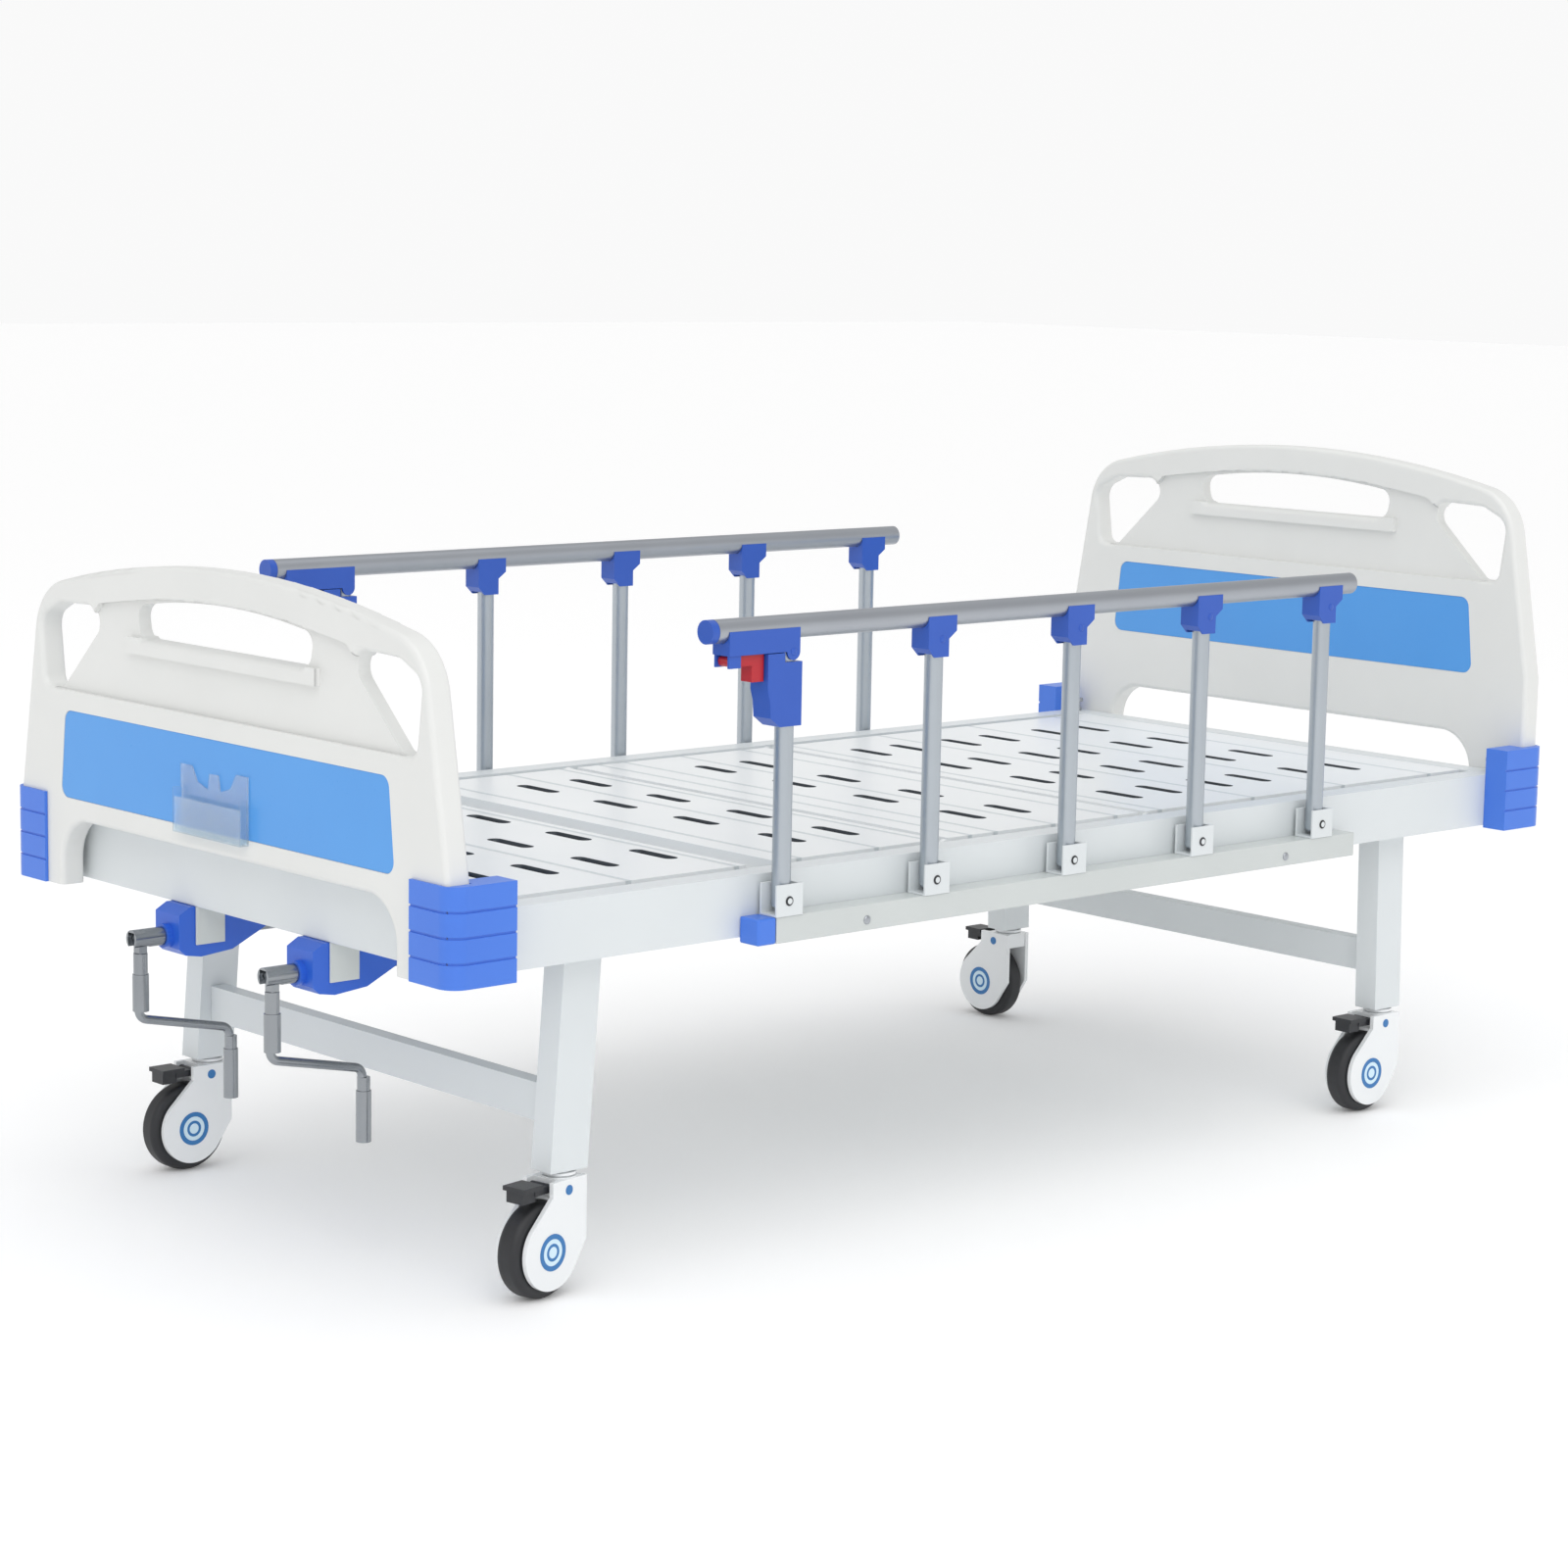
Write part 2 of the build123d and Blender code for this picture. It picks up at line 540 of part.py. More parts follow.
def crank_hub(y):
    """Add the tube on the screw's outer end, slotted for the tongue of the folding handle."""
    slot_end = KNUCKLE_X + 13
    rod("X", (y, SCREW_Z), HUB_R, KNUCKLE_X - 14, BOSS_START - 0.4)
    # journal that runs in the cowl's bore
    rod("X", (y, SCREW_Z), SCREW_R, BOSS_START - 1, SCREW_START - 0.4)
    rod("X", (y, SCREW_Z), HUB_R - 4, KNUCKLE_X - 15, slot_end, Mode.SUBTRACT)
    block((KNUCKLE_X - 15, slot_end), (y - 7.4, y + 7.4), (SCREW_Z - 14, SCREW_Z + 9), Mode.SUBTRACT)
    rod("Y", (KNUCKLE_X, SCREW_Z), PIVOT_R, y - HUB_R + 0.5, y + HUB_R - 0.5)


def crank_handle(y):
    """Add the folded handle: tongue and sleeve, bent arm and hand grip."""
    path = [(0, -60), (-4, -108), (138, -138), (142, -236)]
    with BuildLine(Plane((KNUCKLE_X, y, SCREW_Z), x_dir=(1, 0, 0), z_dir=(0, -1, 0))) as bend:
        FilletPolyline(*path, radius=14)
    with BuildSketch(Plane(bend.line @ 0, z_dir=bend.line % 0)) as bar:
        Circle(CRANK_ARM_R)
    sweep(bar.sketch, path=bend.line)
    rod("Y", (KNUCKLE_X, SCREW_Z), 7.5, y - 7, y + 7)
    block((KNUCKLE_X - 6, KNUCKLE_X + 6), (y - 7, y + 7), (SCREW_Z - 21, SCREW_Z))
    # sleeve in two steps, the lower one a little wider
    rod("Z", (KNUCKLE_X, y), 9.5, SCREW_Z - 50, SCREW_Z - 20)
    rod("Z", (KNUCKLE_X, y), 11.0, SCREW_Z - 98, SCREW_Z - 48)
    rod("Z", (KNUCKLE_X + 141, y), 8.5, SCREW_Z - 170, SCREW_Z - 150)
    rod("Z", (KNUCKLE_X + 141, y), 10.0, SCREW_Z - 236, SCREW_Z - 168)
    rod("Y", (KNUCKLE_X, SCREW_Z), PIVOT_BORE_R, y - 14, y + 14, Mode.SUBTRACT)


for name, y in (("back", -CRANK_Y), ("leg", CRANK_Y)):
    with BuildPart() as hub:
        crank_hub(y)
    save(hub, f"crank_hub_{name}")
    with BuildPart() as handle:
        crank_handle(y)
    save(handle, f"crank_handle_{name}")

# ---------------------------------------------------------------- side rails

with BuildPart() as rail_base_bars:
    for span in sides(BEAM_OUTER + GAP, BAR_OUTER):
        box_tube_x((BAR_START + 32 + GAP, BAR_END), span, (BAR_BOTTOM, BAR_TOP), 2.5)
save(rail_base_bars, "rail_base_bars")

with BuildPart() as rail_bar_caps:
    for span in sides(BEAM_OUTER + GAP, BAR_OUTER):
        block((BAR_START, BAR_START + 32), span, (BAR_BOTTOM, BAR_TOP))
save(rail_bar_caps, "rail_bar_caps")

with BuildPart() as rail_clevises:
    for y in (-RAIL_Y, RAIL_Y):
        for x in POST_X:
            block((x - 22, x + 24), (y - CHEEK_OUT, y + CHEEK_OUT), (BAR_TOP + GAP, 510))
            # the socket is open towards the foot so that the post can fold that way
            block((x - 23, x + 19), (y - CHEEK_IN, y + CHEEK_IN), (471, 511), Mode.SUBTRACT)
            rod("Y", (x, PIVOT_LOW_Z), PIVOT_R, y - CHEEK_OUT - 2.0, y + CHEEK_OUT + 2.0)
save(rail_clevises, "rail_clevises")

for side_name, y in (("near", -RAIL_Y), ("far", RAIL_Y)):
    for index, x in enumerate(POST_X, start=1):
        with BuildPart() as post:
            rod("Z", (x, y), POST_R, POST_BOTTOM, POST_TOP)
            chamfer(post.edges().filter_by(GeomType.CIRCLE), 4)
            for pivot_z in (PIVOT_LOW_Z, PIVOT_HIGH_Z):
                rod("Y", (x, pivot_z), PIVOT_BORE_R, y - 14, y + 14, Mode.SUBTRACT)
            # hollow between the two pivots
            rod("Z", (x, y), POST_R - 1.5, PIVOT_LOW_Z + 20, PIVOT_HIGH_Z - 20, Mode.SUBTRACT)
        save(post, f"rail_post_{side_name}_{index}")

    with BuildPart() as rail_tube:
        rod("X", (y, TUBE_Z), TUBE_R, TUBE_START, TUBE_END)
        rod("X", (y, TUBE_Z), TUBE_R - TUBE_WALL, TUBE_START - 1, TUBE_END + 1, Mode.SUBTRACT)
    save(rail_tube, f"rail_tube_{side_name}")

    with BuildPart() as brackets:
        for x in POST_X[1:]:
            with BuildSketch(Plane.XZ.offset(-y - CHEEK_OUT)):
                with BuildLine():
                    Polyline((x - 26, TUBE_Z), (x - 26, 800), (x - 14, 788), (x + 12, 788), (x + 12, 812),
                             (x + 26, 822), (x + 26, TUBE_Z), close=True)
                make_face()
            extrude(amount=2 * CHEEK_OUT)
            block((x - 18, x + 27), (y - CHEEK_IN, y + CHEEK_IN), (787, TUBE_Z - TUBE_R), Mode.SUBTRACT)
            rod("Y", (x, PIVOT_HIGH_Z), PIVOT_R, y - CHEEK_OUT, y + CHEEK_OUT)
        # longer saddle that carries the release lever and the first post
        x = POST_X[0]
        block((x - 109, x + 11), (y - CHEEK_OUT, y + CHEEK_OUT), (812, TUBE_Z))
        rod("Y", (x, PIVOT_HIGH_Z), 11.0, y - CHEEK_OUT, y + CHEEK_OUT)
        block((x - 18, x + 27), (y - CHEEK_IN, y + CHEEK_IN), (787, TUBE_Z - TUBE_R), Mode.SUBTRACT)
        rod("Y", (x, PIVOT_HIGH_Z), PIVOT_R, y - CHEEK_OUT, y + CHEEK_OUT)
        rod("X", (y, TUBE_Z), TUBE_R + GAP, TUBE_START - 20, TUBE_END + 20, Mode.SUBTRACT)
        for lever_ear in (-1, 1):
            ear_y = sorted((y + lever_ear * 11.0, y + lever_ear * 14.5))
            block((x - 108, x - 88), ear_y, (796, 812.5))
        rod("Y", (x - 98, 804), 3.0, y - 12, y + 12)
        # round nose cap closing the tube at the foot end
        rod("X", (y, TUBE_Z), TUBE_R, TUBE_START - 12, TUBE_START - GAP)
        rod("X", (y, TUBE_Z), TUBE_R - TUBE_WALL - GAP, TUBE_START - 1, TUBE_START + 12)
    save(brackets, f"rail_brackets_{side_name}")

    with BuildPart() as housing:
        x = POST_X[0]
        with BuildSketch(Plane.XZ.offset(-y - 17)):
            with BuildLine():
                Polyline((x - 44, 811), (x - 15, 811), (x - 15, 799), (x + 14.5, 799), (x + 14.5, 716),
                         (x - 22, 716), (x - 38, 728), (x - 40, 750), (x - 44, 764), close=True)
            make_face()
        extrude(amount=34)
        rod("Z", (x, y), POST_R + GAP, 700, 830, Mode.SUBTRACT)
    save(housing, f"latch_housing_{side_name}")

    with BuildPart() as lever:
        rod("Y", (x - 98, 804), 7.0, y - 10.5, y + 10.5)
        block((x - 98, x - 46), (y - 10.5, y + 10.5), (797, 811))
        block((x - 66, x - 46), (y - 10.5, y + 10.5), (776, 798))
        rod("Y", (x - 98, 804), 3.06, y - 12, y + 12, Mode.SUBTRACT)
    save(lever, f"release_lever_{side_name}")

# ------------------------------------------------------------------- casters


def caster_fork():
    """Add the swivel head, the two teardrop covers, the axle and the pedal pin."""
    for side in (-1, 1):
        near, far = sorted((side * COVER_IN, side * COVER_OUT))
        with BuildSketch(Plane.XZ.offset(-far)) as cover:
            with Locations((-CASTER_TRAIL, WHEEL_R)):
                Circle(50)
            with Locations((2, 110)):
                Rectangle(44, 84)
            make_hull()
            # ledge that carries the brake pedal
            with Locations((-28, 140)):
                Rectangle(24, 24)
        extrude(cover.sketch, amount=far - near)
    block((-26, 22), (-COVER_IN - 1, COVER_IN + 1), (128, 152))
    # stepped swivel head, with a gap between its two rings
    rod("Z", (0, 0), 24.0, 150, 153)
    rod("Z", (0, 0), 18.0, 152, 155)
    rod("Z", (0, 0), 22.0, 154.5, 158)
    rod("Z", (0, 0), 16.0, 157, LEG_BOTTOM - 0.4)
    rod("Y", (-CASTER_TRAIL, WHEEL_R), AXLE_R, -COVER_IN - 1, COVER_IN + 1)
    rod("Y", (-33, 142), 3.0, -COVER_IN - 1, COVER_IN + 1)


def caster_wheel():
    """Add the wheel: a rounded tyre on a hub with a running bore."""
    with BuildSketch(Plane.XY) as section:
        with Locations((WHEEL_R / 2, 0)):
            Rectangle(WHEEL_R, 2 * WHEEL_HALF)
        fillet(section.vertices().group_by(Axis.X)[-1], 10)
    revolve(section.sketch, axis=Axis.Y)
    rod("Y", (0, 0), AXLE_BORE_R, -30, 30, Mode.SUBTRACT)


def caster_pedal():
    """Add the brake pedal: hinged plate and raised toe piece."""
    rod("Y", (-33, 142), 5.5, -17, 17)
    block((-62, -33), (-15, 15), (137, 146))
    # broad toe plate above, and the brake shoe reaching down over the tyre
    block((-86, -50), (-18.5, 18.5), (145, 151))
    block((-84, -60), (-14, 14), (130, 146))
    rod("Y", (-33, 142), 3.06, -20, 20, Mode.SUBTRACT)


for name, swivel_x, swivel_y, yaw in CASTERS:
    place = Location((swivel_x, swivel_y, 0), (0, 0, yaw))
    wheel_place = place * Location((-CASTER_TRAIL, 0, WHEEL_R))
    for label, shape, location in (
        ("caster_fork", caster_fork, place),
        ("caster_wheel", caster_wheel, wheel_place),
        ("brake_pedal", caster_pedal, place),
    ):
        with BuildPart() as piece:
            shape()
        piece.part.location = location
        save(piece, f"{label}_{name}")
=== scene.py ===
import json
from math import cos, pi, radians, sin

import bmesh
import bpy
from mathutils import Matrix, Vector


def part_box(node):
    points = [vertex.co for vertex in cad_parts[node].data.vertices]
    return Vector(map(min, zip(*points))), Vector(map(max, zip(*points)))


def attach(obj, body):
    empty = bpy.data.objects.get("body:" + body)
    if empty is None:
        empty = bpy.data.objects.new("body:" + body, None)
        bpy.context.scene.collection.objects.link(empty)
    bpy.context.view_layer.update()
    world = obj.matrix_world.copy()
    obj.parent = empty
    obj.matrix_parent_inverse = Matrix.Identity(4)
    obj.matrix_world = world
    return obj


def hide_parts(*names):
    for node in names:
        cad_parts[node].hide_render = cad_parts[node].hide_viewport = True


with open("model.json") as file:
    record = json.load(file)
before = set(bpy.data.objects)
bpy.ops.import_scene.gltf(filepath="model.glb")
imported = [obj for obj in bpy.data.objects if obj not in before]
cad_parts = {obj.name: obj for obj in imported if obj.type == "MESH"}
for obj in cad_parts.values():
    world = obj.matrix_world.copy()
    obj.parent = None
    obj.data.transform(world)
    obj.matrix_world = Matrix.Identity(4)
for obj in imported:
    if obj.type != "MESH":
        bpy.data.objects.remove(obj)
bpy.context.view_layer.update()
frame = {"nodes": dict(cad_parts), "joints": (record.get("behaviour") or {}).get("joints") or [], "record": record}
NODES = frame["nodes"]
MM = 0.001


# ------------------------------------------------------------ small helpers

def colour(hex_code):
    """An sRGB hex colour as the linear RGBA that a shader socket takes."""
    parts = [int(hex_code[i:i + 2], 16) / 255 for i in (1, 3, 5)]
    linear = [c / 12.92 if c <= 0.04045 else ((c + 0.055) / 1.055) ** 2.4 for c in parts]
    return (*linear, 1.0)


def add_node(tree, kind, links=None, **settings):
    """Add a node: settings named after a socket or a property, links as {socket: source socket}."""
    item = tree.nodes.new(kind)
    for name, value in settings.items():
        if hasattr(item, name):
            setattr(item, name, value)
        else:
            item.inputs[name.replace("_", " ")].default_value = value
    for socket, source in (links or {}).items():
        tree.links.new(source, item.inputs[socket])
    return item


def new_material(name):
    """An empty node material: returns the material, its tree and its Principled shader."""
    material = bpy.data.materials.new(name)
    material.use_nodes = True
    tree = material.node_tree
    tree.nodes.clear()
    shader = add_node(tree, "ShaderNodeBsdfPrincipled")
    output = add_node(tree, "ShaderNodeOutputMaterial")
    tree.links.new(shader.outputs["BSDF"], output.inputs["Surface"])
    return material, tree, shader


def finish_surface(tree, shader, base, shade, roughness, grain_mm, bump_mm, spread=0.06, stretch=(1, 1, 1)):
    """Give a shader its colour variation, uneven gloss and fine surface relief.

    base and shade are hex colours, mixed in broad soft clouds; grain_mm is the size of the relief.
    """
    where = add_node(tree, "ShaderNodeTexCoord").outputs["Object"]
    turned = add_node(tree, "ShaderNodeMapping", {"Vector": where}, Scale=stretch).outputs["Vector"]
    clouds = add_node(tree, "ShaderNodeTexNoise", {"Vector": where}, Scale=6.0, Detail=3.0, Roughness=0.55)
    tone = add_node(tree, "ShaderNodeMixRGB", {"Fac": clouds.outputs["Fac"]},
                    Color1=colour(base), Color2=colour(shade))
    tree.links.new(tone.outputs["Color"], shader.inputs["Base Color"])
    grain = add_node(tree, "ShaderNodeTexNoise", {"Vector": turned}, Scale=1.0 / (grain_mm * MM), Detail=2.0)
    gloss = add_node(tree, "ShaderNodeMapRange", {"Value": grain.outputs["Fac"]},
                     **{"To_Min": roughness - spread, "To_Max": roughness + spread})
    tree.links.new(gloss.outputs["Result"], shader.inputs["Roughness"])
    relief = add_node(tree, "ShaderNodeBump", {"Height": grain.outputs["Fac"]},
                      Strength=0.35, Distance=bump_mm * MM)
    tree.links.new(relief.outputs["Normal"], shader.inputs["Normal"])
    return tone, grain, relief


# ---------------------------------------------------------------- materials

def powder_coat(name, base, shade):
    """Satin polyester powder coat on welded steel: a faint orange peel, soft highlights."""
    material, tree, shader = new_material(name)
    shader.inputs["IOR"].default_value = 1.5
    shader.inputs["Coat Weight"].default_value = 0.15
    shader.inputs["Coat Roughness"].default_value = 0.25
    finish_surface(tree, shader, base, shade, 0.38, 2.5, 0.06)
    return material


def deck_coat(name, grooves_mm):
    """The same coat on the pressed deck sheet, in a whiter copy for painted light on its lit top, with cross
    swages pressed at the given stations and painted shade in them.
    """
    material, tree, shader = new_material(name)
    shader.inputs["IOR"].default_value = 1.5
    shader.inputs["Coat Weight"].default_value = 0.15
    shader.inputs["Coat Roughness"].default_value = 0.25
    # painted light: this copy of the coat is whiter than the frame's, for the lit top of the deck
    tone, grain, relief = finish_surface(tree, shader, "#F2F4F5", "#E9EDEE", 0.36, 2.5, 0.06)
    where = add_node(tree, "ShaderNodeTexCoord").outputs["Object"]
    along = add_node(tree, "ShaderNodeSeparateXYZ", {"Vector": where}).outputs["X"]
    total = None
    for station in grooves_mm:
        away = add_node(tree, "ShaderNodeMath", {0: along}, operation="SUBTRACT")
        away.inputs[1].default_value = station * MM
        size = add_node(tree, "ShaderNodeMath", {0: away.outputs[0]}, operation="ABSOLUTE")
        pulse = add_node(tree, "ShaderNodeMapRange", {"Value": size.outputs[0]},
                         interpolation_type="SMOOTHSTEP",
                         **{"From_Min": 2 * MM, "From_Max": 6 * MM, "To_Min": 1.0, "To_Max": 0.0})
        if total is None:
            total = pulse.outputs["Result"]
        else:
            both = {0: total, 1: pulse.outputs["Result"]}
            total = add_node(tree, "ShaderNodeMath", both, operation="MAXIMUM").outputs[0]
    # painted shade: the coat is darkened along each swage, where shade falls in the groove
    pressed = add_node(tree, "ShaderNodeMixRGB", {"Fac": total, "Color1": tone.outputs["Color"]},
                       Color2=colour("#CDD4D7"))
    tree.links.new(pressed.outputs["Color"], shader.inputs["Base Color"])
    dip = add_node(tree, "ShaderNodeBump", {"Height": total, "Normal": relief.outputs["Normal"]},
                   invert=True, Strength=0.8, Distance=2.0 * MM)
    tree.links.new(dip.outputs["Normal"], shader.inputs["Normal"])
    return material


def moulded(name, base, shade, roughness, grain_mm=1.2, bump_mm=0.05, ior=1.5, coat=0.0):
    """Moulded thermoplastic: even colour with a slight cloud, and the grain of the mould's skin."""
    material, tree, shader = new_material(name)
    shader.inputs["IOR"].default_value = ior
    shader.inputs["Coat Weight"].default_value = coat
    shader.inputs["Coat Roughness"].default_value = 0.12
    finish_surface(tree, shader, base, shade, roughness, grain_mm, bump_mm, spread=0.05)
    return material


def metal(name, base, shade, roughness, grain_mm=0.6, bump_mm=0.02, stretch=(1, 1, 1)):
    """Bare or plated metal; stretch draws its grain out into lines along the piece."""
    material, tree, shader = new_material(name)
    shader.inputs["Metallic"].default_value = 1.0
    finish_surface(tree, shader, base, shade, roughness, grain_mm, bump_mm, spread=0.07, stretch=stretch)
    return material


def clear_acrylic():
    """Clear injection-moulded acrylic: colourless, faintly blue at its edges."""
    material, tree, shader = new_material("clear_acrylic")
    shader.inputs["IOR"].default_value = 1.49
    shader.inputs["Transmission Weight"].default_value = 0.85
    shader.inputs["Alpha"].default_value = 0.55
    finish_surface(tree, shader, "#DDF1FF", "#CBE8FC", 0.12, 6.0, 0.02, spread=0.04)
    return material


PAINT = {
    # the coat's white, made darker than the deck's copy with painted shade, for the beams' shaded sides
    "white_powder_coat": powder_coat("white_powder_coat", "#DFE4E6", "#D7DCDE"),
    # the same coat in a greyer white, on the rails' base bars and the crank straps
    "grey_powder_coat": powder_coat("grey_white_powder_coat", "#CFD4D3", "#C7CCCB"),
    # blow-moulded ABS with a fine spark-eroded texture that takes the shine off
    "board_plastic": moulded("abs_warm_white", "#E6E7E5", "#DEDFDD", 0.42, 1.6, 0.08),
    # smooth co-extruded sheet, glossier than the board it sits in
    "panel_blue": moulded("abs_sheet_sky_blue", "#4F9FE8", "#4896E2", 0.30, 3.0, 0.02, coat=0.2),
    "clear_plastic": clear_acrylic(),
    # polypropylene corner shoes, self-coloured
    "bumper_blue": moulded("polypropylene_bright_blue", "#4A80E4", "#3F73DA", 0.36, 1.4, 0.05),
    # bright zinc plate on turned steel
    "steel_hardware": metal("zinc_plated_steel", "#B9BDC2", "#A4A8AE", 0.34),
    # polypropylene covers over the crank bearings
    "cowl_blue": moulded("polypropylene_deep_blue", "#3068D6", "#285DC8", 0.33, 1.4, 0.05),
    # dark chrome plate on bent bar
    "crank_chrome": metal("dark_chrome", "#A2A6AA", "#868A8F", 0.24, stretch=(1, 1, 0.2)),
    # extruded and anodised aluminium; the die leaves fine lines along the tube
    "rail_aluminium": metal("anodised_aluminium", "#B4B8BE", "#A8ACB3", 0.40, 0.8, 0.02,
                            stretch=(0.05, 1, 1)),
    "post_aluminium": metal("anodised_aluminium_upright", "#BCC3C9", "#AFB6BD", 0.36, 0.8, 0.02,
                            stretch=(1, 1, 0.05)),
    # glass-filled nylon, self-coloured, semi-matt
    "bracket_blue": moulded("nylon_mid_blue", "#2E5EC2", "#2752B2", 0.38, 1.2, 0.06),
    "lever_red": moulded("nylon_red", "#C3222E", "#AE1A27", 0.34, 1.2, 0.05),
    # glossy white nylon caster covers
    "caster_white": moulded("nylon_gloss_white", "#F1F3F4", "#E8EBED", 0.18, 4.0, 0.02, coat=0.3),
    # black polyurethane tread, slightly dusty
    "tyre_black": moulded("polyurethane_black", "#2A2B2E", "#222326", 0.52, 1.0, 0.08),
    "pedal_black": moulded("nylon_black", "#2B2D31", "#222428", 0.42, 1.0, 0.06),
    "decal_blue": moulded("printed_ink_blue", "#2F78B8", "#2A6FAD", 0.30, 3.0, 0.01),
    "decal_pale": moulded("printed_ink_pale_blue", "#D8EEFA", "#CDE7F6", 0.30, 3.0, 0.01),
    # painted shade: a dull dark steel colour on the lips of the deck slots, so that the slots look as dark
    # as shadow makes them; the real lips are most likely coated white like the deck
    "slot_lip": metal("dark_steel_painted_slot_shade", "#5C6166", "#4B5055", 0.62, 2.0, 0.04),
}
DECK_GROOVES = {
    "calf_section": ("deck_coat_calf", (-940, -900, -703, -520)),
    "thigh_section": ("deck_coat_thigh", (-410, -268, -168)),
    "seat_deck": ("deck_coat_seat", (-90, -40, 76, 205)),
    "back_deck": ("deck_coat_back", (300, 505, 715, 925)),
}


# ------------------------------------------------------------ piece making

def link(name, mesh):
    """Put a finished mesh in the scene as an object at the origin."""
    piece = bpy.data.objects.new(name, mesh)
    bpy.context.scene.collection.objects.link(piece)
    return piece


def bake_modifiers(piece):
    """Turn a piece and its modifiers into one plain mesh."""
    bpy.context.view_layer.update()
    graph = bpy.context.evaluated_depsgraph_get()
    result = bpy.data.meshes.new_from_object(piece.evaluated_get(graph), preserve_all_data_layers=True,
                                             depsgraph=graph)
    piece.modifiers.clear()
    old = piece.data
    piece.data = result
    if not old.users:
        bpy.data.meshes.remove(old)
    return piece


def round_edges(piece, width_mm, segments=3, angle=28):
    """Round a piece's edges and even out its shading."""
    if width_mm:
        bevel = piece.modifiers.new("rounding", "BEVEL")
        bevel.width = width_mm * MM
        bevel.segments = segments
        bevel.limit_method = "ANGLE"
        bevel.angle_limit = radians(angle)
        bevel.use_clamp_overlap = True
        bevel.miter_outer = "MITER_ARC"
    normals = piece.modifiers.new("shading", "WEIGHTED_NORMAL")
    normals.keep_sharp = True
    piece.data.shade_smooth()
    piece.data.set_sharp_from_angle(angle=radians(38))
    return bake_modifiers(piece)


def paint(piece, *materials):
    """Set a piece's materials, in slot order."""
    piece.data.materials.clear()
    for material in materials:
        piece.data.materials.append(material)
    return piece


def body_of_node(node):
    """The CAD body a node belongs to."""
    for body, members in frame["record"]["behaviour"]["bodies"].items():
        if node in members:
            return body
    raise KeyError(node)


def slot_of_node(node):
    """The record's material slot of a node."""
    for entry in frame["record"]["subparts"]:
        if entry["node"] == node:
            return entry["material_slot"]
    raise KeyError(node)


def softened(node, width_mm, material=None, segments=3):
    """A copy of a CAD node with rounded edges, which stands for it."""
    mesh = NODES[node].data.copy()
    mesh.materials.clear()
    shell = bmesh.new()
    shell.from_mesh(mesh)
    bmesh.ops.remove_doubles(shell, verts=shell.verts, dist=0.00002)
    bmesh.ops.dissolve_limit(shell, angle_limit=radians(0.6), verts=shell.verts, edges=shell.edges)
    shell.to_mesh(mesh)
    shell.free()
    if mesh.has_custom_normals:
        mesh.normals_split_custom_set([(0, 0, 0)] * len(mesh.loops))
    piece = link(node + "_finished", mesh)
    round_edges(piece, width_mm, segments)
    paint(piece, material or PAINT[slot_of_node(node)])
    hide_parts(node)
    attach(piece, body_of_node(node))
    return piece


# Rounding of each kind of piece, in millimetres: the radius its real edge has.
EDGE_MM = {
    "side_beams": 3.0, "end_beams": 3.0, "cross_tubes": 2.0, "leg_frames": 3.0,
    "seat_deck": 0.0, "back_deck": 0.0, "thigh_section": 0.0, "calf_section": 0.0, "back_frame": 0.8,
    "footboard": 0.0, "headboard": 0.0, "footboard_panels": 0.5, "headboard_panels": 0.5,
    "corner_bumpers": 1.4, "rail_bar_caps": 3.0, "rail_base_bars": 2.5, "rail_clevises": 1.2,
    "crank_cowls": 5.0, "crank_hangers": 1.0, "board_lock_pins": 0.8, "card_holder": 0.5,
}
for side in ("near", "far"):
    EDGE_MM.update({f"rail_brackets_{side}": 1.2, f"latch_housing_{side}": 4.0, f"release_lever_{side}": 3.0,
                    f"rail_tube_{side}": 0.0})
    EDGE_MM.update({f"rail_post_{side}_{i}": 0.0 for i in range(1, 6)})
for crank in ("back", "leg"):
    EDGE_MM.update({f"crank_hub_{crank}": 1.2, f"crank_handle_{crank}": 1.0,
                    f"{crank}_nut": 0.8, f"{crank}_screw": 0.0})
for place in ("foot_near", "foot_far", "head_near", "head_far"):
    EDGE_MM.update({f"caster_fork_{place}": 2.2, f"caster_wheel_{place}": 0.0,
                    f"brake_pedal_{place}": 2.4})

for node, width in EDGE_MM.items():
    material = None
    if node in DECK_GROOVES:
        material = deck_coat(*DECK_GROOVES[node])
    elif node.startswith("rail_post"):
        material = PAINT["post_aluminium"]
    elif node in ("rail_base_bars", "crank_hangers"):
        material = PAINT["grey_powder_coat"]
    softened(node, width, material)


# --------------------------------------------------------- repeated fixings

